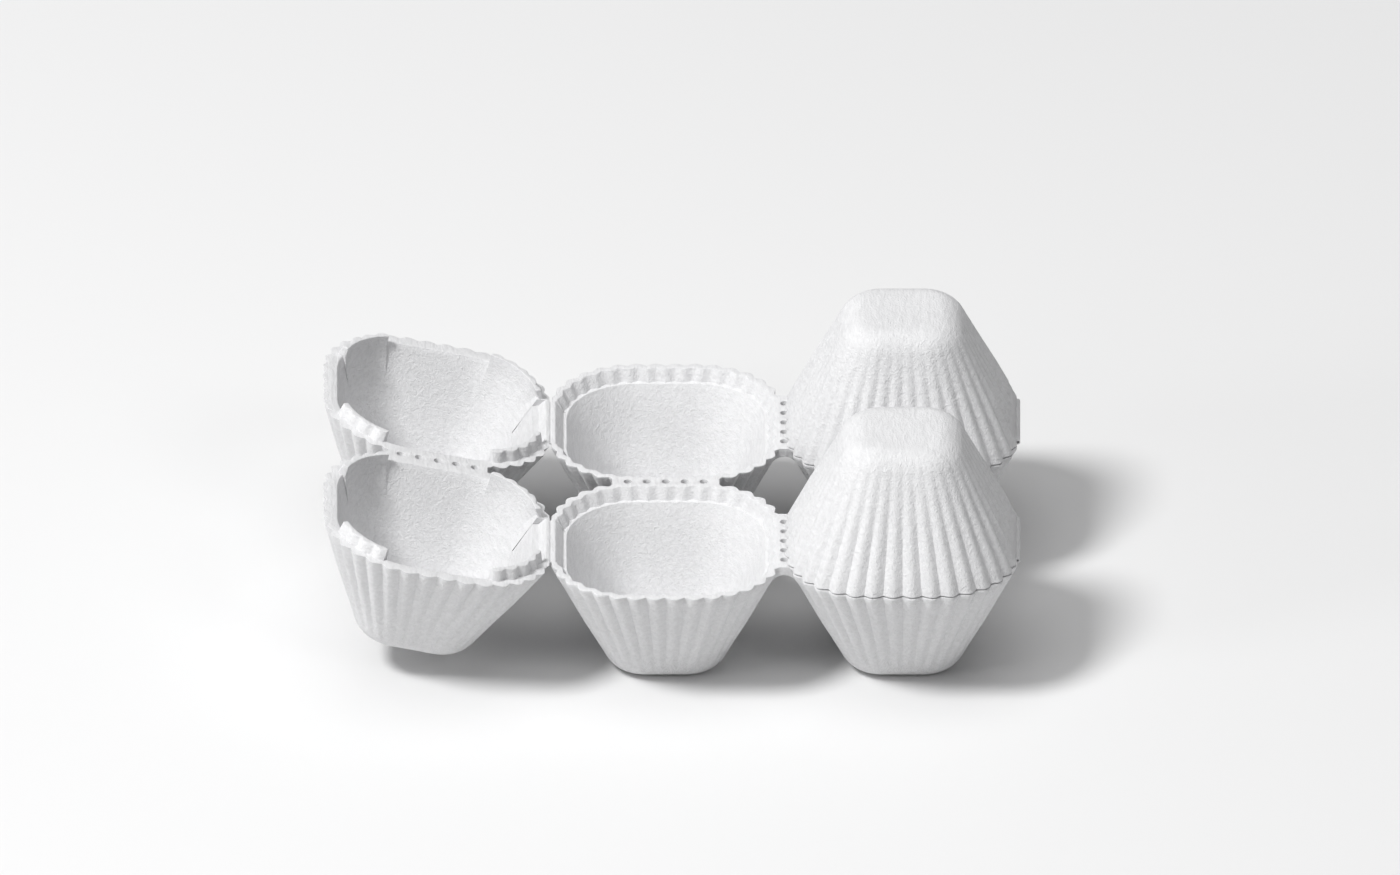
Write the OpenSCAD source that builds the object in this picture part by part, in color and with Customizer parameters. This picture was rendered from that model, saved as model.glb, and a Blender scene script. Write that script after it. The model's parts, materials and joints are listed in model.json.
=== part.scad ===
// Egg carton of moulded pulp: four fluted cups in two rows and two columns, each with its
// own hinged lid. The two lids of a column are joined by a perforated web and swing as one
// pair. The left pair stands open and the right pair is closed.
// Lengths are millimetres. The origin is under the middle of the whole carton, +Z is up,
// and the column hinges run along Y.

/* [Layout] */
// How far the left pair of lids stands open, in degrees
left_open = 168; // [0:1:180]
// How far the right pair of lids stands open, in degrees
right_open = 0; // [0:1:180]
// Free space between the flutes of neighbouring cups
neighbour_gap = 0.3; // [0.3:0.1:2]

/* [Cups and lids] */
// Height of a cup from its foot to its rim
cup_h = 34.6; // [32:0.2:38]
// Height of a lid from its rim to its crown
lid_h = 34; // [32:0.2:38]
// Half the width across a rim, measured in the grooves between the flutes
rim_half = 30.2; // [29.6:0.1:31]
// Corner radius of the rim's outline, measured in the grooves
rim_corner = 22.5; // [20:0.5:25]
// Half width that a wall loses per unit of depth
wall_lean = 0.465; // [0.4:0.005:0.5]
// Corner radius that a wall loses per unit of depth
corner_lean = 0.44; // [0.3:0.01:0.44]
// Radius of the rounding between a wall and the foot or crown
foot_round = 6.4; // [5:0.2:8]
// Thickness of the foot and the crown
floor_t = 2; // [1.6:0.1:2.4]

/* [Flutes] */
// Flutes along a quarter of the rim
flutes = 10; // [8:2:12]
// Height of a flute over its grooves
flute_h = 1.15; // [0.6:0.05:1.3]
// Share of the height at which the flutes begin to fade
fade_from = 0.55; // [0.4:0.05:0.7]

/* [Rims, bands and tabs] */
// Half width across a cup's opening at the rim
cup_open = 28.5; // [28:0.1:28.7]
// Flute height on the inner band of a cup
band_flute = 0.85; // [0.4:0.05:1]
// Depth of the inner band, down to its ledge
band_h = 3.4; // [3.2:0.1:4]
// Half width inside a cup at the ledge
ledge_half = 26.4; // [26:0.1:26.6]
// Half width across a lid's opening at the rim
lid_open = 27.3; // [27:0.1:27.6]
// Height of a locking tab over the lid's rim
tab_h = 2.8; // [2:0.1:3]
// Half width between the inner faces of the locking tabs
tab_in = 26.1; // [26:0.1:26.4]
// Free space between a locking tab and the inner band
tab_gap = 0.35; // [0.3:0.05:0.5]
// Gap between the rims of a cup and its closed lid
seam = 0.4; // [0.3:0.05:0.6]

/* [Hinges] */
// Length of a hinge strip
hinge_len = 22.6; // [20:0.2:24]
// Thickness of a hinge strip
hinge_t = 2; // [1.6:0.1:2.4]
// Distance from a cup's middle to its hinge axis
hinge_out = 30.65; // [30.5:0.05:30.8]
// Width of the flat top of a hinge strip
hinge_w = 1.1; // [0.9:0.1:1.3]

/* [Webs] */
// Length of a web between cups
cup_web_len = 28.5; // [26:0.5:29]
// Length of a web between lids
lid_web_len = 27; // [26:0.5:28]
// Thickness of a web over its arch
web_t = 2.4; // [2:0.1:2.8]
// Radius of the arch under a web
arch_r = 2.6; // [2.2:0.1:2.8]
// Diameter of a perforation
hole_d = 2.2; // [1.4:0.05:2.4]

/* [Hidden] */
columns = ["left", "right"];
rows = ["front", "back"];
corners = ["hinge_outer", "hinge_inner", "free_outer", "free_inner"];
cells = [for (c = columns, r = rows) str(c, "_", r)];
$fn = 48;

pulp_white = "#f3f1ed";
pitch = 2 * (rim_half + flute_h) + neighbour_gap;
samples = 2 * flutes;           // two samples of the outline to a flute, one quarter
land_h = web_t + arch_r;        // depth of the flat land that a web meets
lean_angle = atan(wall_lean);
perforations = 5;
inner_round = 5;                // rounding inside a cup or lid
fade_to = 0.95;                 // share of the height at which the flutes have gone
tab_side = 15.8;                // from the middle of a row's side to the end of a tab
tab_free = 16.5;                // the same on the free side of a lid
hinge_gap = 0.15;               // from the edge of a hinge strip to the axis
hinge_edge = hinge_out - hinge_gap;
hinge_z = cup_h + seam / 2;     // the hinge axes lie halfway up the seam
lid_strip_in = 2.45;            // foot of a lid's hinge strip, in from the axis strip's edge
eps = 0.01;

// Half width and corner radius of the outer wall at a depth below the rim
function wall_half(d) = rim_half - wall_lean * d;
function wall_corner(d) = rim_corner - corner_lean * d;
function side_len(half, corner) = 2 * (half - corner) + corner * PI / 2;
sample_len = side_len(rim_half, rim_corner) / samples;

// Height of the flutes at a depth, in a shell of height h
function flute_at(d, h) = flute_h * (1 - max(0, min(1, (d / h - fade_from) / (fade_to - fade_from))));

// Point i of one side of a fluted rounded square, as [along the side, outward]. i counts
// samples from the middle of the side: even ones lie in a groove, odd ones on a flute.
function side_point(i, half, corner, flute) =
    let (flat = half - corner,
         arc = abs(i) * side_len(half, corner) / samples,
         bend = max(0, arc - flat) / corner * 180 / PI,
         r = corner + flute * (1 - abs(1 - abs(i) % 2)))
    [sign(i) * (min(arc, flat) + r * sin(bend)), flat + r * cos(bend)];

// Point of one ring of a shell. A ring is [depth, half width, corner radius, flute height,
// flats], with undef or [half length, half width, depth] in flats for each of the sides.
function ring_point(ring, side, i) =
    let (f = ring[4][side],
         steps = f == undef ? -1 : floor(f[0] / sample_len),
         on_flat = abs(i) <= steps,
         p = on_flat ? [f[0] * i / steps, f[1]] : side_point(i, ring[1], ring[2], ring[3]),
         a = 90 * side)
    [p.x * cos(a) + p.y * sin(a), p.x * sin(a) - p.y * cos(a), on_flat ? -f[2] : -ring[0]];

// Closed shell through a list of rings, from the outside of the foot to the inner floor
module ring_shell(rings) {
    m = 4 * samples;
    last = (len(rings) - 1) * m;
    polyhedron(
        points = [for (r = rings, side = [0:3], i = [-flutes:flutes - 1]) ring_point(r, side, i)],
        faces = concat(
            [[for (j = [0:m - 1]) j]],
            [for (k = [0:len(rings) - 2], j = [0:m - 1])
                let (a = k * m + j, b = k * m + (j + 1) % m) [a, a + m, b + m, b]],
            [[for (j = [m - 1:-1:0]) last + j]]
        ),
        convexity = 6
    );
}

// Rings of a rounding of radius r that leaves a leaning wall and ends level at depth h,
// with the wall's half width and corner radius where it would meet the rim
function round_rings(h, r, half, corner, flute) =
    let (start = h - r * (1 - sin(lean_angle)),
         mid = (lean_angle + 90) / 2,
         w = half - wall_lean * start,
         c = corner - corner_lean * start)
    [for (a = [lean_angle, mid, 90])
        let (back = r * (cos(lean_angle) - cos(a)))
        [h - r * (1 - sin(a)), w - back, max(0.5, c - back), a == lean_angle ? flute : 0,
            [undef, undef, undef, undef]]];

function reversed(list) = [for (i = [len(list) - 1:-1:0]) list[i]];

// Outer rings of a cup or lid of height h, from the foot up. web_half holds half the length
// of the web on each side, or undef, and the last side carries the hinge.
function outer_rings(h, web_half) =
    let (start = h - foot_round * (1 - sin(lean_angle)),
         plain = [undef, undef, undef, undef],
         foot = round_rings(h, foot_round, rim_half, rim_corner, flute_at(start, h)))
    concat(
        reversed(foot),
        [for (d = [fade_from * h, land_h + 1])
            [d, wall_half(d), wall_corner(d), flute_at(d, h), plain]],
        [for (d = [land_h, 0])
            [d, wall_half(d), wall_corner(d), flute_h, concat(
                [for (w = web_half) w == undef ? undef : [w, wall_half(d), d]],
                [[hinge_len / 2, wall_half(max(d, hinge_t)), max(d, hinge_t)]])]]
    );

// Side order of a shell: outer side, side towards the other column, side towards the other
// cup of the column, hinge side
module cup() {
    corner = rim_corner - rim_half + cup_open;
    ledge_corner = rim_corner - rim_half + ledge_half;
    hinge_in = hinge_edge - hinge_w;
    ring_shell(concat(
        outer_rings(cup_h, [undef, cup_web_len / 2, cup_web_len / 2]),
        [for (d = [0, band_h])
            [d, cup_open - wall_lean * d, corner - corner_lean * d, band_flute, [undef, undef, undef,
                [hinge_len / 2, hinge_in - wall_lean * max(d, hinge_t), max(d, hinge_t)]]]],
        [[band_h, ledge_half, ledge_corner, 0, [undef, undef, undef, undef]]],
        round_rings(cup_h - floor_t, inner_round, ledge_half + wall_lean * band_h,
            ledge_corner + corner_lean * band_h, 0)
    ));
}

module lid() {
    corner = rim_corner - rim_half + lid_open;
    ring_shell(concat(
        outer_rings(lid_h, [undef, undef, lid_web_len / 2]),
        [[0, lid_open, corner, 0, [undef, undef, undef,
            [hinge_len / 2, lid_open - wall_lean * hinge_t, hinge_t]]]],
        round_rings(lid_h - floor_t, inner_round, lid_open, corner, 0)
    ));
}

// Web along Y between two rims, with its arch and its row of perforations
module web(length) {
    top = pitch / 2 - rim_half;
    foot = top + wall_lean * land_h;
    difference() {
        rotate([90, 0, 0])
            linear_extrude(length, center = true)
                polygon([[-foot, -land_h], [foot, -land_h], [top, 0], [-top, 0]]);
        translate([0, 0, -land_h])
            rotate([90, 0, 0])
                cylinder(r = arch_r, h = length + 1, center = true);
        for (i = [0:perforations - 1])
            translate([0, (i - (perforations - 1) / 2) * 2 * sample_len, -web_t - 1])
                cylinder(d = hole_d, h = web_t + 2);
    }
}

// Hinge strip on the hinge side of a shell, with the inner edges of its top and its foot
module hinge_strip(top_in, foot_in) {
    rotate([90, 0, 0])
        linear_extrude(hinge_len, center = true)
            polygon([[-hinge_edge, 0], [-top_in, 0], [-foot_in, -hinge_t], [-wall_half(hinge_t), -hinge_t]]);
}

// Locking tab over one corner of a lid's rim, between samples first and last of the outline,
// counted from the middle of the outer side
module tab(first, last) {
    outer = cup_open + wall_lean * seam - tab_gap;
    inner_corner = rim_corner - rim_half + tab_in;
    spots = concat([first], [for (i = [ceil(first + eps):floor(last - eps)]) i], [last]);
    rails = [
        [outer, band_flute, 0],
        [outer - wall_lean * tab_h, band_flute, tab_h],
        [tab_in, 0, tab_h],
        [tab_in, 0, 0]
    ];
    n = len(spots);
    function rail_point(rail, i) =
        let (far = i > samples / 2,
             half = rail[0],
             corner = rail[1] > 0 ? rim_corner - rim_half + outer - corner_lean * rail[2] : inner_corner,
             p = side_point(far ? i - samples : i, half, corner, rail[1]))
        far ? [p.y, p.x, rail[2]] : [p.x, -p.y, rail[2]];
    polyhedron(
        points = [for (r = rails, i = spots) rail_point(r, i)],
        faces = concat(
            [for (k = [0:3], j = [0:n - 2])
                let (a = k * n + j, b = (k + 1) % 4 * n + j) [a, b, b + 1, a + 1]],
            [[0, 3 * n, 2 * n, n], [n - 1, 2 * n - 1, 3 * n - 1, 4 * n - 1]]
        )
    );
}

// The carton stands with the middle of its whole box over the origin
reach_right = max([for (i = [floor(hinge_len / 2 / sample_len) + 1:flutes])
    side_point(i, rim_half, rim_corner, flute_h).y]);
reach_left = hinge_out - (hinge_out + rim_half + flute_h) * cos(left_open) + seam / 2 * sin(left_open);
tray_x = (reach_left - reach_right) / 2;

// Puts what is drawn for the left front cell, rim at height 0, at the rim of any cell
module at_cell(col, row) {
    translate([tray_x, 0, 0])
        mirror([col, 0, 0])
            mirror([0, row, 0])
                translate([-pitch / 2, -pitch / 2, cup_h])
                    children();
}

// The same for what rides on a lid, drawn with its rim up and its crown down
module at_lid(col, row) {
    turn = col == 0 ? left_open : right_open;
    at_cell(col, row)
        translate([-hinge_out, 0, seam / 2])
            rotate([0, -turn, 0])
                translate([hinge_out, 0, seam / 2])
                    mirror([0, 0, 1])
                        children();
}

module cup_node(col, row) {
    color(pulp_white)
        at_cell(col, row)
            cup();
}

module row_web_node(row) {
    color(pulp_white)
        at_cell(0, row)
            translate([pitch / 2, 0, 0])
                web(cup_web_len);
}

module column_web_node(col) {
    color(pulp_white)
        at_cell(col, 0)
            translate([0, pitch / 2, 0])
                rotate([0, 0, 90])
                    web(cup_web_len);
}

module cup_hinge_node(col, row) {
    color(pulp_white)
        at_cell(col, row)
            hinge_strip(hinge_edge - hinge_w, hinge_edge - hinge_w - wall_lean * hinge_t);
}

module lid_node(col, row) {
    color(pulp_white)
        at_lid(col, row)
            lid();
}

module lid_web_node(col) {
    color(pulp_white)
        at_lid(col, 0)
            translate([0, pitch / 2, 0])
                rotate([0, 0, 90])
                    web(lid_web_len);
}

module lid_hinge_node(col, row) {
    color(pulp_white)
        at_lid(col, row)
            hinge_strip(hinge_edge - hinge_w, hinge_edge - lid_strip_in);
}

// Corner k of a lid: 0 and 1 at the hinge, 2 and 3 at the free side, even ones on the
// outer side. The hinge corners end short of the hinge strip.
module tab_node(col, row, k) {
    side_end = tab_side / sample_len;
    hinge_end = samples - hinge_len / 2 / sample_len;
    free_end = samples - tab_free / sample_len;
    color(pulp_white)
        at_lid(col, row)
            mirror([k < 2 ? 1 : 0, 0, 0])
                mirror([0, k % 2, 0])
                    tab(side_end, k < 2 ? hinge_end : free_end);
}

for (c = [0, 1]) {
    row_web_node(c);
    column_web_node(c);
    lid_web_node(c);
    for (r = [0, 1]) {
        cell = cells[2 * c + r];
        cup_node(c, r);
        cup_hinge_node(c, r);
        lid_node(c, r);
        lid_hinge_node(c, r);
        for (k = [0:3])
            tab_node(c, r, k);
    }
}
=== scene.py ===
import json
import math
import bmesh
import bpy
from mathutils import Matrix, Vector


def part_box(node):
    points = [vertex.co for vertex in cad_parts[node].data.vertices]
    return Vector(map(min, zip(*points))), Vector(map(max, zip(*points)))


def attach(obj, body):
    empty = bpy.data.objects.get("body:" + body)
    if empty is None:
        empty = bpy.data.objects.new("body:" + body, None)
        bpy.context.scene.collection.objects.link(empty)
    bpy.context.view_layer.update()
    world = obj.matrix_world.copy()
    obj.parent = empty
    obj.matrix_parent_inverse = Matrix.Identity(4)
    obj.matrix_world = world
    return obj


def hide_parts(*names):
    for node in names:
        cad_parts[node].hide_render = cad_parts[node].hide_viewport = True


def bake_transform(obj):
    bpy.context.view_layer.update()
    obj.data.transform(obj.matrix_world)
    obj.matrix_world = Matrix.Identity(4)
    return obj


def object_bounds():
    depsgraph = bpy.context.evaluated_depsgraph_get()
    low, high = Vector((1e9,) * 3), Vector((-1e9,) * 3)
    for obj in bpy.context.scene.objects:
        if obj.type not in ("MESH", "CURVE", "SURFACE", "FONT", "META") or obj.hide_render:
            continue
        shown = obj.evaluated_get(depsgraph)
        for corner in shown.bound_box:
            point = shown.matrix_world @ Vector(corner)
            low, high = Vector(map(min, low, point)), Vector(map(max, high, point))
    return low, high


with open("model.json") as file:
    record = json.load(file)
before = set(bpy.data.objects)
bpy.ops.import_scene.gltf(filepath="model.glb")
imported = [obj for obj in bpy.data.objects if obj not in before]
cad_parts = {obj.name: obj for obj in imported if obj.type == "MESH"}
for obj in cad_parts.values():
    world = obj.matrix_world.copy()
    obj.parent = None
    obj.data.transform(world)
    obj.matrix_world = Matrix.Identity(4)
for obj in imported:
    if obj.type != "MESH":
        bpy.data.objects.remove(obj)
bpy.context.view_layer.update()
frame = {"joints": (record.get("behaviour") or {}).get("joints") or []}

mm = 0.001

# where things are, from the frame: each cell is drawn round its hinge axis and copied to its place
hinges = {"left": None, "right": None}
for joint in frame["joints"]:
    for column in hinges:
        if joint["child"] == "lid_pair_" + column:
            hinges[column] = Vector(joint["pos_m"])
stripLow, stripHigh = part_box("cup_hinge_left_front")
rows = {"front": -1, "back": 1}
columns = {"left": 1, "right": -1}          # which way a cell lies from its hinge
rowOut = -(stripLow.y + stripHigh.y) / 2
middleX = (hinges["left"].x + hinges["right"].x) / 2
cellOut = middleX - rowOut - hinges["left"].x       # from a hinge axis to the middle of a cell
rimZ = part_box("cup_left_front")[1].z
seam = 2 * (hinges["left"].z - rimZ)
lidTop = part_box("lid_right_front")[1].z
stripHalf = (stripHigh.y - stripLow.y) / 2
openTurn = {"left": math.radians(168), "right": 0}  # how far each pair of lids stands open

# the rounded square that a cup and a lid are drawn from, in mm, measured in the grooves;
# its straight sides are the edges longer than longEdge before they are divided
outline = {"half": 30.2, "corner": 22.5, "cornerCuts": 56, "sideCuts": 24, "perFlute": 8,
           "flute": 1.15, "fluteOut": 1.04, "lobe": 1.3, "lean": 0.465,
           "straightLean": 0.065, "squarest": 0.58, "longEdge": 5}
spots = 4 * (outline["cornerCuts"] + outline["sideCuts"])
quarter = spots // 4
wallAngle = math.atan(outline["lean"])

# where the hinge strips join a rim
hingeSide = {"reach": 18,           # spots either side of the middle of the hinge side
             "stripOut": 30.5,      # outer edge of a hinge strip, in mm from the middle of the cell
             "besideReach": 4,      # spots beside a strip that stand back
             "standBack": 0.35}     # and how far, in mm

# how the rings down a wall are spaced, in mm or as shares, and how its flutes fade
wall = {"belowLand": 0.4, "fadeSteps": 5, "fadeEnd": 0.95, "roundFade": 1.6, "outerSteps": 8,
        "innerSteps": 7, "innerShares": (0.35, 0.7, 1), "floorShares": (0.7, 0.6, 0.5, 0.4)}
weld = 0.002     # mm, points closer than this are one
hair = 1e-6      # slack when two numbers are compared


# small tools for edit mode
def choose(*pieces):
    if bpy.context.mode != "OBJECT":
        bpy.ops.object.mode_set(mode="OBJECT")
    bpy.ops.object.select_all(action="DESELECT")
    for piece in pieces:
        piece.select_set(True)
        bpy.context.view_layer.objects.active = piece


def edit(piece):
    choose(piece)
    bpy.ops.object.mode_set(mode="EDIT")
    bpy.ops.mesh.select_mode(type="VERT")


def named(name):
    piece = bpy.context.object
    piece.name = name
    piece.data.name = name
    return piece


def pick(test, kind="VERT"):
    # selects what passes the test; spot and ring say where a point of a shell was drawn
    bpy.ops.mesh.select_mode(type=kind)
    bpy.ops.mesh.select_all(action="DESELECT")
    bm = bmesh.from_edit_mesh(bpy.context.edit_object.data)
    spot = bm.verts.layers.int.get("spot")
    ring = bm.verts.layers.int.get("ring")
    for part in {"VERT": bm.verts, "EDGE": bm.edges, "FACE": bm.faces}[kind]:
        if spot is None or kind == "FACE":
            part.select_set(bool(test(part)))
        elif kind == "VERT":
            part.select_set(bool(test(part, part[spot], part[ring])))
        else:
            ends = part.verts
            part.select_set(bool(test(part, [v[spot] for v in ends], [v[ring] for v in ends])))
    bm.select_flush_mode()
    bmesh.update_edit_mesh(bpy.context.edit_object.data)


def applyModifiers(piece):
    choose(piece)
    for name in [m.name for m in piece.modifiers]:
        bpy.ops.object.modifier_apply(modifier=name)


def tidyMesh(piece, angle=42):
    # outward normals, smooth over the flutes and crisp at real edges
    edit(piece)
    bpy.ops.mesh.select_all(action="SELECT")
    bpy.ops.mesh.remove_doubles(threshold=weld * mm)
    bpy.ops.mesh.normals_make_consistent(inside=False)
    choose(piece)
    bpy.ops.object.shade_smooth_by_angle(angle=math.radians(angle))


# a shell is drawn from its rim loop, ring by ring: each ring is pulled out of the one before
def startOutline(name):
    choose()
    bpy.ops.mesh.primitive_plane_add(size=2 * outline["half"] * mm)
    piece = named(name)
    edit(piece)
    bpy.ops.mesh.select_all(action="SELECT")
    bpy.ops.mesh.bevel(offset=outline["corner"] * mm, segments=outline["cornerCuts"], profile=0.5,
                       affect="VERTICES")
    bpy.ops.mesh.delete(type="ONLY_FACE")
    pick(lambda e: e.calc_length() > outline["longEdge"] * mm, "EDGE")
    bpy.ops.mesh.subdivide(number_cuts=outline["sideCuts"] - 1)
    # the points are numbered round the outline from the middle of the front side
    bm = bmesh.from_edit_mesh(piece.data)
    spot = bm.verts.layers.int.new("spot")
    bm.verts.layers.int.new("ring")
    turn = {v: (math.atan2(v.co.x, -v.co.y) + hair) % (2 * math.pi) for v in bm.verts}
    for number, v in enumerate(sorted(bm.verts, key=turn.get)):
        v[spot] = number
    bmesh.update_edit_mesh(piece.data)
    pen = {"ring": 0, "depth": 0, "half": outline["half"], "straight": straightAt(0), "flute": 0,
           "shape": "round"}
    setFlutes(pen, 1)
    return piece, pen


def lobeOut(step, shape):
    # how far out a step of a flute lies, as a share: a soft wave, or a plain fold
    if shape == "round":
        return math.sin(math.pi * step / outline["perFlute"]) ** outline["lobe"]
    return 2 * step / outline["perFlute"]


def setFlutes(pen, share, shape="round"):
    # moves each step of the flutes out or in, seen from the middle of the cell
    height = outline["flute"] / (outline["half"] * outline["fluteOut"])
    count = outline["perFlute"]
    for step in range(1, count // 2 + 1):
        new = 1 + share * height * lobeOut(step, shape)
        old = 1 + pen["flute"] * height * lobeOut(step, pen["shape"])
        pick(lambda v, s, r: r == pen["ring"] and s % count in (step, count - step))
        bpy.ops.transform.resize(value=(new / old, new / old, 1), center_override=(0, 0, 0))
    pen.update(flute=share, shape=shape)
    pick(lambda v, s, r: r == pen["ring"])


def straightAt(depth):
    # half the length of the straight stretch of a side: the corners tighten down the wall
    return outline["half"] - outline["corner"] - outline["straightLean"] * depth


def outAt(turn, half, straight):
    # how far out a rounded square lies, at an angle from the middle of a side
    if half * math.tan(turn) <= straight:
        return half / math.cos(turn)
    along = straight * (math.sin(turn) + math.cos(turn))
    return along + math.sqrt(along ** 2 - 2 * straight ** 2 + (half - straight) ** 2)


def turnOf(count):
    # the angle of a spot, counted from the middle of a side
    flat = outline["sideCuts"] / 2
    if count <= flat:
        return math.atan2(straightAt(0) * count / flat, outline["half"])
    bend = math.pi / 2 * (count - flat) / outline["cornerCuts"]
    return math.atan2(straightAt(0) + outline["corner"] * math.sin(bend),
                      straightAt(0) + outline["corner"] * math.cos(bend))


def squareUp(pen, straight):
    # pushes the corners of the chosen ring out until its sides are straight for this length
    bm = bmesh.from_edit_mesh(bpy.context.edit_object.data)
    spot = bm.verts.layers.int["spot"]
    chosen = {}
    for v in bm.verts:
        if v.select:
            away = (v[spot] + quarter // 2) % quarter - quarter // 2
            chosen.setdefault(abs(away), []).append(v)
            v.select_set(False)
    for count, points in chosen.items():
        turn = turnOf(count)
        factor = outAt(turn, pen["half"], straight) / outAt(turn, pen["half"], pen["straight"])
        for v in points:
            v.select_set(True)
        bpy.ops.transform.resize(value=(factor, factor, 1), center_override=(0, 0, 0))
        for v in points:
            v.select_set(False)
    pen["straight"] = straight
    pick(lambda v, s, r: r == pen["ring"])


def moveRing(pen, depth, half, flute=None, shape="round"):
    bpy.ops.transform.translate(value=(0, 0, (pen["depth"] - depth) * mm))
    factor = half / pen["half"]
    bpy.ops.transform.resize(value=(factor, factor, 1), center_override=(0, 0, -depth * mm))
    pen.update(depth=depth, half=half, straight=pen["straight"] * factor)
    squareUp(pen, min(straightAt(depth), outline["squarest"] * half))
    if flute is not None and abs(flute - pen["flute"]) > hair:
        setFlutes(pen, flute, shape)


def pullRing(pen, depth, half, flute=None, shape="round"):
    bpy.ops.mesh.extrude_region_move(TRANSFORM_OT_translate={"value": (0, 0, 0)})
    pen["ring"] += 1
    bm = bmesh.from_edit_mesh(bpy.context.edit_object.data)
    ring = bm.verts.layers.int["ring"]
    for v in bm.verts:
        if v.select:
            v[ring] = pen["ring"]
    bmesh.update_edit_mesh(bpy.context.edit_object.data)
    moveRing(pen, depth, half, flute, shape)
    return pen["ring"]


def pullRounding(pen, height, radius, half, steps):
    # rounds the leaning wall into a level floor; half is the wall's half width at the rim
    edge = half - outline["lean"] * (height - radius * (1 - math.sin(wallAngle)))
    flute = pen["flute"]
    for step in range(1, steps + 1):
        angle = wallAngle + (math.pi / 2 - wallAngle) * step / steps
        inward = radius * (math.cos(wallAngle) - math.cos(angle))
        fade = max(0, 1 - wall["roundFade"] * step / steps)
        pullRing(pen, height - radius * (1 - math.sin(angle)), edge - inward, flute * fade)


def closeFloor(pen):
    for share in wall["floorShares"]:
        pullRing(pen, pen["depth"], pen["half"] * share)
    bpy.ops.mesh.extrude_region_move(TRANSFORM_OT_translate={"value": (0, 0, 0)})
    bpy.ops.mesh.merge(type="CENTER")


def pullOutside(pen, shape):
    # the fluted outside of a shell, from its rim to the middle of its foot or crown
    height, land = shape["height"], shape["land"]
    start = height - shape["round"] * (1 - math.sin(wallAngle))
    fadeFrom = shape["fadeFrom"] * height

    def half(depth):
        return outline["half"] - outline["lean"] * depth

    if shape["lip"]:
        pullRing(pen, shape["lip"], half(0))
    landRing = pullRing(pen, land, half(land))
    for depth in (land + wall["belowLand"], fadeFrom):
        pullRing(pen, depth, half(depth))
    for step in range(1, wall["fadeSteps"] + 1):
        depth = fadeFrom + (start - fadeFrom) * step / wall["fadeSteps"]
        left = 1 - (depth - fadeFrom) / (wall["fadeEnd"] * height - fadeFrom)
        pullRing(pen, depth, half(depth), left)
    pullRounding(pen, height, shape["round"], outline["half"], wall["outerSteps"])
    closeFloor(pen)
    return landRing


def pullInside(pen, shape, half):
    # the smooth inside wall below the rim; half is what it would be at the rim
    depth = shape["height"] - shape["floor"] - shape["innerRound"] * (1 - math.sin(wallAngle))
    for share in wall["innerShares"]:
        pullRing(pen, depth * share, half - outline["lean"] * depth * share)
    pullRounding(pen, shape["height"] - shape["floor"], shape["innerRound"], half,
                 wall["innerSteps"])
    closeFloor(pen)


def backToRim(pen):
    # starts the inside at the rim again, with rings numbered from 100
    pen.update(ring=99, depth=0, half=outline["half"], straight=straightAt(0), flute=1, shape="round")
    pick(lambda v, s, r: r == 0)


def fromMiddle(spot, side):
    # how many spots lie between a spot and the middle of a side: 0 front, 1 right, 2 back, 3 hinge
    away = (spot - side * quarter) % spots
    return min(away, spots - away)


def flatten(ring, side, reach, halfLength, out, depth):
    # lays the middle stretch of one side of a ring along a straight line
    pick(lambda v, s, r: r == ring and fromMiddle(s, side) <= reach)
    bm = bmesh.from_edit_mesh(bpy.context.edit_object.data)
    alongX = side % 2 == 0
    end = max(abs(v.co.x if alongX else v.co.y) for v in bm.verts if v.select)
    stretch = halfLength * mm / end
    middle = [(0, -out), (out, 0), (0, out), (-out, 0)][side]
    bpy.ops.transform.resize(value=(stretch, 0, 0) if alongX else (0, stretch, 0),
                             center_override=(middle[0] * mm, middle[1] * mm, -depth * mm))


def layLands(shape, landRing):
    # flat lands where a web or a hinge strip joins the fluted wall
    land = outline["half"] - outline["lean"] * shape["land"]
    if shape["lip"]:
        lip = outline["half"] - outline["lean"] * shape["lip"]
        for side in shape["webSides"]:
            flatten(1, side, shape["webReach"], shape["webLength"] / 2, lip, shape["lip"])
        flatten(1, 3, hingeSide["reach"], stripHalf / mm,
                hingeSide["stripOut"] - outline["lean"] * shape["lip"], shape["lip"])
    for side in shape["webSides"]:
        flatten(0, side, shape["webReach"], shape["webLength"] / 2, outline["half"], 0)
        flatten(landRing, side, shape["webReach"], shape["webLength"] / 2, land, shape["land"])
    # the flutes beside a hinge strip stand back, so that an open lid clears its cup
    near, far = hingeSide["reach"], hingeSide["reach"] + hingeSide["besideReach"]
    pick(lambda v, s, r: r in (0, 1) and near < fromMiddle(s, 3) <= far)
    bpy.ops.transform.translate(value=(hingeSide["standBack"] * mm, 0, 0))
    flatten(0, 3, hingeSide["reach"], stripHalf / mm, hingeSide["stripOut"], 0)
    flatten(landRing, 3, hingeSide["reach"], stripHalf / mm, land, shape["land"])


def softenRim(shape, rings, offset):
    # rounds edges of the rim, but not where a web is joined
    def onWeb(s):
        return any(max(fromMiddle(s[0], side), fromMiddle(s[1], side)) <= shape["webReach"]
                   for side in shape["webSides"])
    pick(lambda e, s, r: r[0] == r[1] and r[0] in rings and not (r[0] == 0 and onWeb(s)), "EDGE")
    bpy.ops.mesh.bevel(offset=offset * mm, segments=3, profile=0.5, affect="EDGES")


def hangOnHinge(piece):
    # the hinge axis becomes the shell's origin
    choose(piece)
    piece.location = (cellOut, 0, -seam / 2)
    bpy.ops.object.transform_apply(location=True, rotation=True, scale=True)


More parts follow.
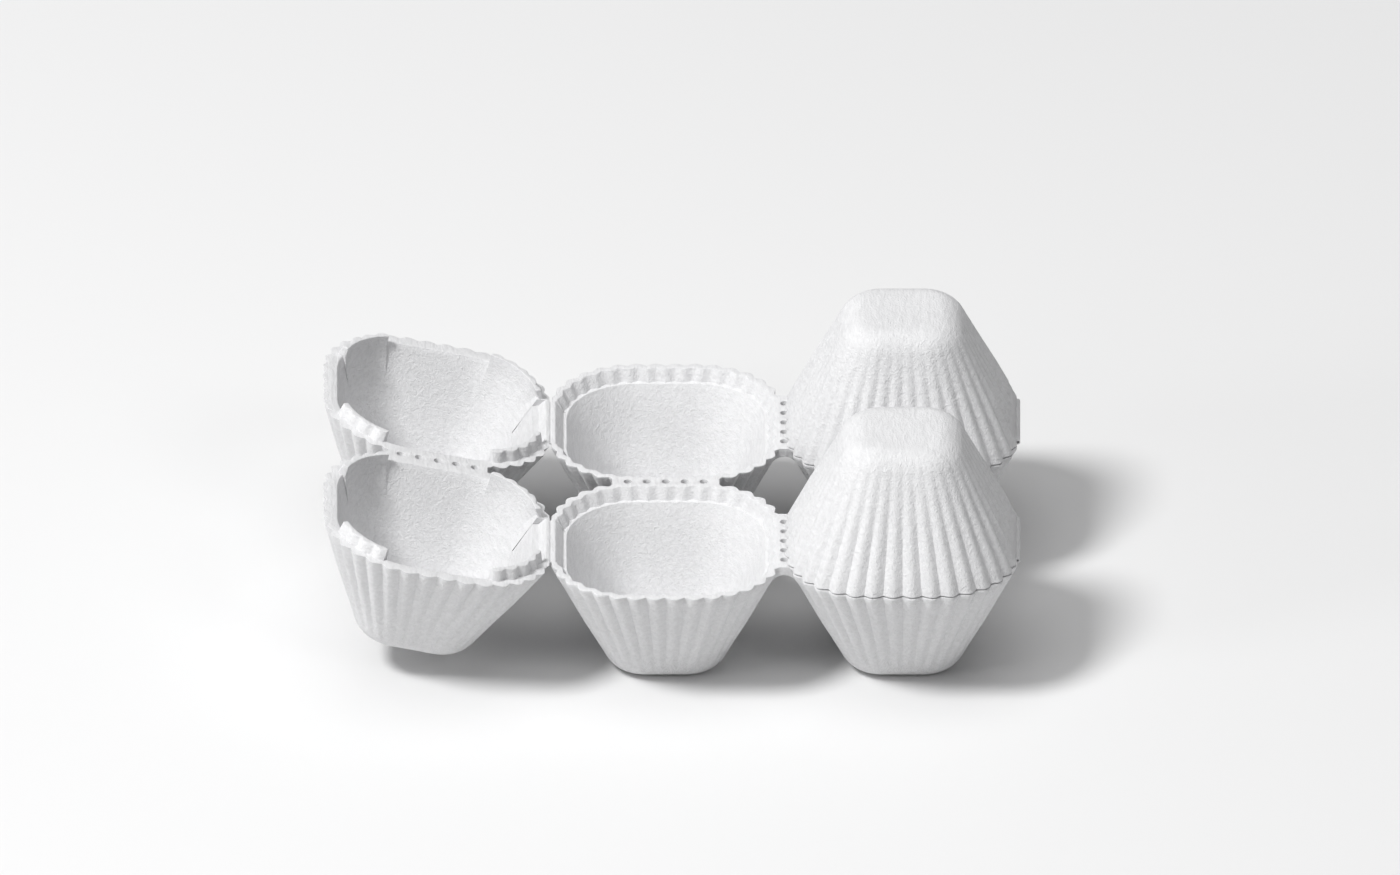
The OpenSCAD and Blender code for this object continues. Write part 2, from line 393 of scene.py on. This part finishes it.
# a cup, in mm, with its webs on the sides numbered in webSides
cupShape = {"height": rimZ / mm, "land": 5.0, "round": 7.6, "fadeFrom": 0.5, "edge": 0.16, "lip": 0.7,
            "webSides": (1, 2), "webReach": 22, "webLength": 28.5,
            "mouth": 28.5, "bandFlute": 0.8, "bandDepth": 3.4, "ledge": 26.4, "stripIn": 29.35,
            "bandStripOut": 0.3, "floor": 2.0, "innerRound": 5.0}


def makeCup():
    shape = cupShape
    piece, pen = startOutline("cupModel")
    landRing = pullOutside(pen, shape)
    backToRim(pen)
    mouth = pullRing(pen, 0, shape["mouth"], shape["bandFlute"], "fold")
    bandLean = outline["lean"] * shape["bandDepth"]
    band = pullRing(pen, shape["bandDepth"], shape["mouth"] - bandLean)
    ledge = pullRing(pen, shape["bandDepth"], shape["ledge"], 0)
    pullInside(pen, shape, shape["ledge"] + bandLean)
    layLands(shape, landRing)
    flatten(mouth, 3, hingeSide["reach"], stripHalf / mm, shape["stripIn"], 0)
    flatten(band, 3, hingeSide["reach"], stripHalf / mm,
            shape["mouth"] - bandLean + shape["bandStripOut"], shape["bandDepth"])
    softenRim(shape, (0, mouth, ledge), shape["edge"])
    tidyMesh(piece)
    hangOnHinge(piece)
    return piece


lidShape = {"height": (lidTop - rimZ - seam) / mm, "land": 5.0, "round": 7.6, "fadeFrom": 0.38,
            "edge": 0.28, "seamEdge": 0.1, "lip": 0,
            "webSides": (2,), "webReach": 21, "webLength": 27.0,
            "mouth": 27.3, "stripIn": 29.3, "rebateIn": 27.9, "rebateDepth": 1.9,
            "belowRebate": 0.5, "rebateFloor": 0.15,
            "floor": 2.0, "innerRound": 5.0}


def makeLid():
    # drawn like a cup, rim up, and turned over when it is copied
    shape = lidShape
    piece, pen = startOutline("lidModel")
    landRing = pullOutside(pen, shape)
    backToRim(pen)
    deep = shape["rebateDepth"]
    mouth = pullRing(pen, 0, shape["mouth"], 0)
    rebate = pullRing(pen, deep, shape["mouth"] - outline["lean"] * deep)
    below = deep + shape["belowRebate"]
    wallRing = pullRing(pen, below, shape["mouth"] - outline["lean"] * below)
    wallHalf = pen["half"]
    pullInside(pen, shape, shape["mouth"])
    layLands(shape, landRing)
    # a rebate behind the hinge strip
    flatten(mouth, 3, hingeSide["reach"], stripHalf / mm, shape["stripIn"], 0)
    flatten(rebate, 3, hingeSide["reach"], stripHalf / mm, shape["rebateIn"], deep)
    flatten(wallRing, 3, hingeSide["reach"], stripHalf / mm, wallHalf, deep + shape["rebateFloor"])
    softenRim(shape, (mouth,), shape["edge"])
    softenRim(shape, (0,), shape["seamEdge"])
    tidyMesh(piece)
    hangOnHinge(piece)
    return piece


# a locking tab: a fluted upstand on a corner of the lid's rim, with a pad that runs down inside
tabShape = {"rise": 2.8, "foot": 28.25, "tip": 27.0, "flute": 0.8, "inner": 26.05, "padFade": 8.3,
            "sunk": 0.6, "edge": 0.2, "endSpots": 9, "endSink": 0.055,
            "brinkOut": 0.2, "padThick": 0.4, "padEdge": 0.02, "padEnd": 0.4}
tabSpots = {"free_outer": (25, 54), "free_inner": (106, 135),
            "hinge_inner": (185, 221), "hinge_outer": (259, 295)}


def makeTab(corner):
    shape = tabShape
    first, last = tabSpots[corner]
    piece, pen = startOutline("tabModel_" + corner)
    pick(lambda v, s, r: s < first or s > last)
    bpy.ops.mesh.delete(type="VERT")
    pick(lambda v, s, r: True)
    moveRing(pen, shape["sunk"], shape["foot"], shape["flute"])

    def wallAt(depth):
        return lidShape["mouth"] - outline["lean"] * depth

    tip = pullRing(pen, -shape["rise"], shape["tip"])
    top = pullRing(pen, -shape["rise"], shape["inner"], 0)
    fade = shape["padFade"]
    brink = pullRing(pen, 0, shape["inner"] + shape["brinkOut"])
    middle = pullRing(pen, fade / 2, wallAt(fade / 2) - shape["padThick"])
    low = pullRing(pen, fade, wallAt(fade) + shape["padEdge"])
    pullRing(pen, fade + shape["padEnd"], wallAt(fade) + shape["sunk"])
    pullRing(pen, fade / 2, wallAt(fade / 2) + shape["sunk"])
    pullRing(pen, shape["sunk"], shape["foot"], shape["flute"])
    bpy.ops.mesh.select_all(action="SELECT")
    bpy.ops.mesh.remove_doubles(threshold=weld * mm)
    bpy.ops.mesh.select_all(action="SELECT")
    bpy.ops.mesh.fill_holes(sides=0)
    if corner.startswith("hinge"):
        # by the hinge the pad sinks into the wall
        end, way = (last, -1) if corner == "hinge_inner" else (first, 1)
        for step in range(shape["endSpots"]):
            factor = 1 + shape["endSink"] * (1 - step / shape["endSpots"])
            pick(lambda v, s, r: s == end + way * step and r in (brink, middle, low))
            bpy.ops.transform.resize(value=(factor, factor, 1), center_override=(0, 0, 0))

    def proud(e, s, r):
        ends = s[0] == s[1] and s[0] in (first, last) and max(r) <= top + 2
        return (r[0] == r[1] and r[0] in (tip, top)) or ends
    pick(proud, "EDGE")
    bpy.ops.mesh.bevel(offset=shape["edge"] * mm, segments=3, profile=0.5, affect="EDGES")
    tidyMesh(piece)
    hangOnHinge(piece)
    return piece


# a web joins two lands, flush with the rims: a strip with tear holes over an arch
webShape = {"thick": 2.4, "holes": 5, "hole": 2.2, "edge": 0.06, "shortEdge": 0.5, "cutterTall": 20}
spotPitch = 0.631                       # mm along the rim from spot to spot
flutePitch = spotPitch * outline["perFlute"]


def cutOut(piece, cutter):
    # takes a cutter away from a piece
    choose(cutter)
    bpy.ops.object.transform_apply(location=True, rotation=True, scale=True)
    less = piece.modifiers.new("cut", "BOOLEAN")
    less.operation = "DIFFERENCE"
    less.solver = "EXACT"
    less.object = cutter
    applyModifiers(piece)
    choose(cutter)
    bpy.ops.object.delete()


def makeWeb(name, length):
    shape = webShape
    gap = rowOut / mm - outline["half"]      # half the space between two rims
    # the arch is a circle that runs smoothly into both walls
    arch = (gap + outline["lean"] * shape["thick"]) / (1 / math.cos(wallAngle) - outline["lean"])
    middle = shape["thick"] + arch
    foot = middle - arch * math.sin(wallAngle)
    choose()
    bpy.ops.mesh.primitive_cube_add(size=1, location=(0, 0, -foot * mm / 2))
    piece = named(name)
    piece.scale = (length * mm, 2 * gap * mm, foot * mm)
    bpy.ops.object.transform_apply(location=True, rotation=True, scale=True)
    edit(piece)
    pick(lambda v: v.co.z < -mm)
    bpy.ops.transform.resize(value=(1, 1 + outline["lean"] * foot / gap, 1), center_override=(0, 0, 0))
    choose()
    bpy.ops.mesh.primitive_cylinder_add(vertices=96, radius=arch * mm, depth=2 * length * mm,
                                        location=(0, 0, -middle * mm), rotation=(0, math.pi / 2, 0))
    cutOut(piece, named("archCutter"))
    for number in range(shape["holes"]):
        across = number - (shape["holes"] - 1) / 2
        choose()
        bpy.ops.mesh.primitive_cylinder_add(vertices=40, radius=shape["hole"] / 2 * mm,
                                            depth=shape["cutterTall"] * mm,
                                            location=(across * flutePitch * mm, 0, 0))
        cutOut(piece, named("holeCutter"))
    # soft rims on the holes and along the ends
    edit(piece)
    short = shape["shortEdge"] * mm
    pick(lambda e: all(abs(v.co.z) < hair for v in e.verts) and e.calc_length() < short, "EDGE")
    bpy.ops.mesh.bevel(offset=shape["edge"] * mm, segments=2, profile=0.5, affect="EDGES")
    tidyMesh(piece, 35)
    return piece


# the living hinge: a thin fold of pulp round the axis, with a flap sunk in each strip
foldShape = {"length": 22.0, "radius": 0.5, "thick": 0.3, "flap": 0.55, "steps": 16,
             "openLap": 0.07, "closedLap": 0.35}


def makeFold(name, turn):
    # drawn on the axis along Y, from the cup's flap round the outside to the lid's flap
    shape = foldShape
    choose()
    bpy.ops.mesh.primitive_plane_add(size=1, rotation=(0, math.pi / 2, 0),
                                     location=(shape["flap"] * mm, 0, -shape["radius"] * mm))
    piece = named(name)
    piece.scale = (shape["thick"] * mm, shape["length"] * mm, 1)
    bpy.ops.object.transform_apply(location=True, rotation=True, scale=True)
    edit(piece)
    bpy.ops.mesh.select_all(action="SELECT")
    flap = Vector((-shape["flap"] * mm, 0, 0))
    bpy.ops.mesh.extrude_region_move(TRANSFORM_OT_translate={"value": flap})
    bpy.ops.mesh.spin(steps=shape["steps"], angle=-turn, center=(0, 0, 0), axis=(0, 1, 0), dupli=False)
    flap = Vector((-math.cos(turn), 0, math.sin(turn))) * shape["flap"] * mm
    bpy.ops.mesh.extrude_region_move(TRANSFORM_OT_translate={"value": flap})
    tidyMesh(piece, 50)
    return piece


# copies of a model, each with its own mesh
def place(model, name, at, side=(1, 1, 1), turn=0):
    choose(model)
    bpy.ops.object.duplicate()
    piece = named(name)
    piece.scale = side
    piece.rotation_euler = (0, turn, 0)
    piece.location = at
    bpy.ops.object.transform_apply(location=True, rotation=True, scale=True)
    edit(piece)
    bpy.ops.mesh.select_all(action="SELECT")
    bpy.ops.mesh.normals_make_consistent(inside=False)
    choose(piece)
    return piece


# moulded paper pulp, pressed wet on a wire mould and dried: a matt neutral white, with a fine
# felted grain and faint streaks where bundles of fibres lie, drawn coarser than single fibres
def linear(hexColour):
    # an sRGB hex colour as linear values
    values = [int(hexColour[i:i + 2], 16) / 255 for i in (1, 3, 5)]
    return [v / 12.92 if v <= 0.04045 else ((v + 0.055) / 1.055) ** 2.4 for v in values] + [1]


def addNode(tree, kind, settings=None, links=None):
    node = tree.nodes.new(kind)
    for name, value in (settings or {}).items():
        if name in node.inputs:
            node.inputs[name].default_value = value
        else:
            setattr(node, name, value)
    for name, source in (links or {}).items():
        tree.links.new(source, node.inputs[name])
    return node


def perMetre(size):
    # a noise scale for a pattern of about that size in mm
    return 1 / (size * mm)


pulpLook = {"light": "#e1e1e2", "lightFrom": 0.65, "dark": "#d7d7d8", "darkTo": 0.3,
            "mottle": 2.4, "grain": 0.5, "fibre": 1.0, "stretch": 0.25, "lay": (0.5, 0.3, 0.7),
            "mottleHeight": 0.08, "fibreHeight": 0.24, "grainHeight": 0.2,
            "roughness": 0.86, "ior": 1.47}


def makePulp():
    look = pulpLook
    material = bpy.data.materials.new("mouldedPaperPulp")
    material.use_nodes = True
    tree = material.node_tree
    shader = tree.nodes["Principled BSDF"]
    shader.inputs["Roughness"].default_value = look["roughness"]
    shader.inputs["IOR"].default_value = look["ior"]
    coords = addNode(tree, "ShaderNodeTexCoord").outputs["Object"]
    mottle = addNode(tree, "ShaderNodeTexNoise",
                     {"Scale": perMetre(look["mottle"]), "Detail": 3.0, "Roughness": 0.6},
                     {"Vector": coords})
    grain = addNode(tree, "ShaderNodeTexNoise",
                    {"Scale": perMetre(look["grain"]), "Detail": 2.0, "Roughness": 0.65},
                    {"Vector": coords})
    lay = addNode(tree, "ShaderNodeMapping",
                  {"Rotation": look["lay"], "Scale": (1, look["stretch"], 1)},
                  {"Vector": coords})
    fibre = addNode(tree, "ShaderNodeTexNoise",
                    {"Scale": perMetre(look["fibre"]), "Detail": 4.0, "Distortion": 0.6},
                    {"Vector": lay.outputs["Vector"]})
    ramp = addNode(tree, "ShaderNodeValToRGB", {}, {"Fac": fibre.outputs["Fac"]})
    dark, light = ramp.color_ramp.elements
    dark.position, dark.color = look["darkTo"], linear(look["dark"])
    light.position, light.color = look["lightFrom"], linear(look["light"])
    tree.links.new(ramp.outputs["Color"], shader.inputs["Base Color"])
    normal = None
    for pattern, height in ((mottle, "mottleHeight"), (fibre, "fibreHeight"), (grain, "grainHeight")):
        links = {"Height": pattern.outputs["Fac"]}
        if normal:
            links["Normal"] = normal
        bump = addNode(tree, "ShaderNodeBump", {"Strength": 1.0, "Distance": look[height] * mm}, links)
        normal = bump.outputs["Normal"]
    tree.links.new(normal, shader.inputs["Normal"])
    return material


pulp = makePulp()


def dress(piece, body, *nodes):
    # gives a piece its pulp, its body and the plain solids that it stands for
    piece.data.materials.clear()
    piece.data.materials.append(pulp)
    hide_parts(*nodes)
    if body:
        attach(piece, body)


cup = makeCup()
lid = makeLid()
tabs = {corner: makeTab(corner) for corner in tabSpots}
cupWeb = makeWeb("cupWebModel", cupShape["webLength"])
lidWeb = makeWeb("lidWebModel", lidShape["webLength"])
hangOnHinge(lidWeb)
folds = {"left": makeFold("openFoldModel", math.pi - openTurn["left"]),
         "right": makeFold("closedFoldModel", math.pi)}
print("models drawn:", len(cup.data.polygons), "faces in a cup,", len(lid.data.polygons), "in a lid")

for column, way in columns.items():
    axis = hinges[column]
    turn = -openTurn[column] * way
    lids = "lid_pair_" + column
    for row, rowWay in rows.items():
        at = axis + Vector((0, rowWay * rowOut, 0))
        cell = column + "_" + row
        dress(place(cup, "pulp_cup_" + cell, at, (way, -rowWay, 1)), "tray", "cup_" + cell)
        dress(place(lid, "pulp_lid_" + cell, at, (way, -rowWay, -1), turn), lids, "lid_" + cell)
        for corner, tab in tabs.items():
            node = "tab_" + cell + "_" + corner
            dress(place(tab, "pulp_" + node, at, (way, -rowWay, -1), turn), lids, node)
        fold = place(folds[column], "pulp_fold_" + cell, at, (way, 1, 1))
        dress(fold, None, "cup_hinge_" + cell, "lid_hinge_" + cell)
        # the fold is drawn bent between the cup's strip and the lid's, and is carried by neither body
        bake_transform(fold)
    dress(place(lidWeb, "pulp_lid_web_" + column, axis, (way, 1, -1), turn), lids, "lid_web_" + column)
    at = (axis.x + way * cellOut, 0, rimZ)
    dress(place(cupWeb, "pulp_cup_web_" + column, at), "tray", "cup_web_" + column)
for row, rowWay in rows.items():
    web = place(cupWeb, "pulp_cup_web_" + row, (0, 0, 0))
    web.rotation_euler = (0, 0, math.pi / 2)
    web.location = (middleX, rowWay * rowOut, rimZ)
    bpy.ops.object.transform_apply(location=True, rotation=True, scale=True)
    dress(web, "tray", "cup_web_" + row)
choose(cup, lid, cupWeb, lidWeb, *tabs.values(), *folds.values())
bpy.ops.object.delete()
print("carton assembled")

# a plain pale floor and soft studio light: matt backdrop paper, an even light grey with no shine
floorLook = {"colour": "#e7e7e7", "size": 6.0, "roughness": 0.9, "specular": 0.2}


def makeFloor():
    choose()
    bpy.ops.mesh.primitive_plane_add(size=floorLook["size"], location=(0, 0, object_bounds()[0][2]))
    floor = named("paleFloor")
    bpy.ops.object.transform_apply(location=True, rotation=True, scale=True)
    paper = bpy.data.materials.new("paleBackdropPaper")
    paper.use_nodes = True
    shader = paper.node_tree.nodes["Principled BSDF"]
    shader.inputs["Base Color"].default_value = linear(floorLook["colour"])
    shader.inputs["Roughness"].default_value = floorLook["roughness"]
    shader.inputs["Specular IOR Level"].default_value = floorLook["specular"]
    floor.data.materials.append(paper)


makeFloor()

# each light stands at an angle round the carton and a height above it, in degrees
lightAim = (0, 0, 0.03)
lights = {"key": {"around": -62, "up": 55, "away": 3.0, "size": 0.75, "power": 73},
          "side": {"around": -64, "up": 15, "away": 3.0, "size": 1.0, "power": 15},
          "fill": {"around": 40, "up": 38, "away": 3.0, "size": 0.9, "power": 7},
          "top": {"around": 0, "up": 90, "away": 1.6, "size": 1.6, "power": 9.5}}


def makeLight(name, look):
    around, up = math.radians(look["around"]), math.radians(look["up"])
    towards = Vector((math.sin(around) * math.cos(up), -math.cos(around) * math.cos(up), math.sin(up)))
    choose()
    bpy.ops.object.light_add(type="AREA", location=Vector(lightAim) + towards * look["away"])
    light = bpy.context.object
    light.name = name
    light.rotation_euler = towards.to_track_quat("Z", "Y").to_euler()
    light.data.shape = "DISK"
    light.data.size = look["size"]
    light.data.energy = look["power"]


for name, look in lights.items():
    makeLight(name, look)

skyLook = {"colour": "#fdfdff", "strength": 0.11}
sky = bpy.data.worlds.new("studio")
sky.use_nodes = True
backdrop = sky.node_tree.nodes["Background"]
backdrop.inputs["Color"].default_value = linear(skyLook["colour"])
backdrop.inputs["Strength"].default_value = skyLook["strength"]
bpy.context.scene.world = sky
bpy.context.scene.view_settings.view_transform = "Standard"

# a camera without perspective, from the front and 30 degrees up
view = {"up": 30, "away": 2.0, "width": 372.5, "aim": (7.88, 0, 48.1), "near": 0.05, "far": 20}


def makeCamera():
    up = math.radians(view["up"])
    back = Vector((0, -math.cos(up), math.sin(up))) * view["away"]
    choose()
    bpy.ops.object.camera_add(location=Vector(view["aim"]) * mm + back,
                              rotation=(math.pi / 2 - up, 0, 0))
    camera = bpy.context.object
    camera.data.type = "ORTHO"
    camera.data.ortho_scale = view["width"] * mm
    camera.data.clip_start = view["near"]
    camera.data.clip_end = view["far"]
    bpy.context.scene.camera = camera


makeCamera()
print("stage, lights and camera ready")
